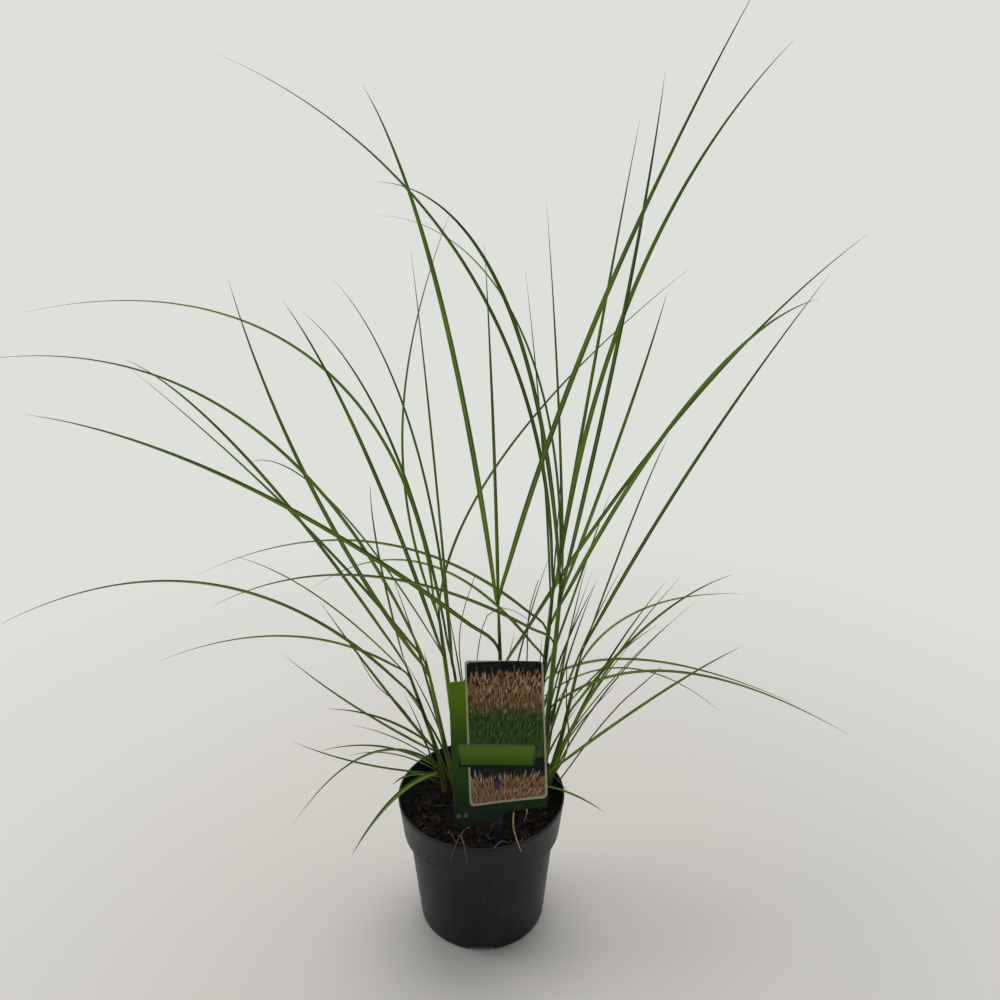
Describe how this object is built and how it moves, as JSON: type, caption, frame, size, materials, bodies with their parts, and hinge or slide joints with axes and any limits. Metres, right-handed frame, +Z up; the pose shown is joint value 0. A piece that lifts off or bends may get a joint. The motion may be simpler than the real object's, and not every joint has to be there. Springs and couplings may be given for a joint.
{
  "type": "potted miscanthus grass clump",
  "caption": "Clump of fine arching ornamental grass in a round black nursery pot, with soil and an unlettered picture label on a stake.",
  "frame": {"origin": "middle of the pot's base, on the surface it stands on", "axes": "+Z up along the pot's axis, +X to the right and -Y towards the viewer, with the label at the front"},
  "size_m": [0.8504, 0.4859, 0.8703],
  "materials": {
    "pot": "thin black recycled plastic, satin, dusty, with fine scratches",
    "soil": "dark moist peat compost with pale fibres and bits of bark",
    "label_card": null,
    "label_stake": "dark blue-violet moulded plastic stick",
    "shoot": "smooth green leaf sheaths around the stems, paler and straw-coloured at the foot",
    "leaf": "fine green grass blades with a paler midrib and brown thread-like tips"
  },
  "bodies": {
    "root": {"label_card": "label_card", "label_stake": "label_stake", "leaf_back_1": "leaf", "leaf_centre_1": "leaf", "leaf_centre_2": "leaf", "leaf_centre_3": "leaf", "leaf_centre_4": "leaf", "leaf_left_back_1": "leaf", "leaf_left_back_2": "leaf", "leaf_left_back_3": "leaf", "leaf_left_front_1": "leaf", "leaf_left_front_2": "leaf", "leaf_left_front_3": "leaf", "leaf_left_low_1": "leaf", "leaf_left_low_2": "leaf", "leaf_left_low_3": "leaf", "leaf_left_low_4": "leaf", "leaf_left_outer_1": "leaf", "leaf_left_outer_2": "leaf", "leaf_left_outer_3": "leaf", "leaf_left_tall_1": "leaf", "leaf_left_tall_2": "leaf", "leaf_left_tall_3": "leaf", "leaf_left_tall_4": "leaf", "leaf_right_back_1": "leaf", "leaf_right_back_2": "leaf", "leaf_right_back_3": "leaf", "leaf_right_inner_1": "leaf", "leaf_right_inner_2": "leaf", "leaf_right_inner_3": "leaf", "leaf_right_inner_4": "leaf", "leaf_right_inner_5": "leaf", "leaf_right_inner_6": "leaf", "leaf_right_low_1": "leaf", "leaf_right_low_2": "leaf", "leaf_right_outer_1": "leaf", "leaf_right_outer_2": "leaf", "leaf_right_outer_3": "leaf", "leaf_right_tall_1": "leaf", "leaf_right_tall_2": "leaf", "leaf_right_tall_3": "leaf", "leaf_right_tall_4": "leaf", "leaf_right_tall_5": "leaf", "leaf_right_tall_6": "leaf", "leaf_right_tall_7": "leaf", "pot": "pot", "shoot_back": "shoot", "shoot_centre": "shoot", "shoot_left_back": "shoot", "shoot_left_front": "shoot", "shoot_left_low": "shoot", "shoot_left_outer": "shoot", "shoot_left_tall": "shoot", "shoot_right_back": "shoot", "shoot_right_inner": "shoot", "shoot_right_low": "shoot", "shoot_right_outer": "shoot", "shoot_right_tall": "shoot", "soil": "soil"}
  },
  "joints": []
}
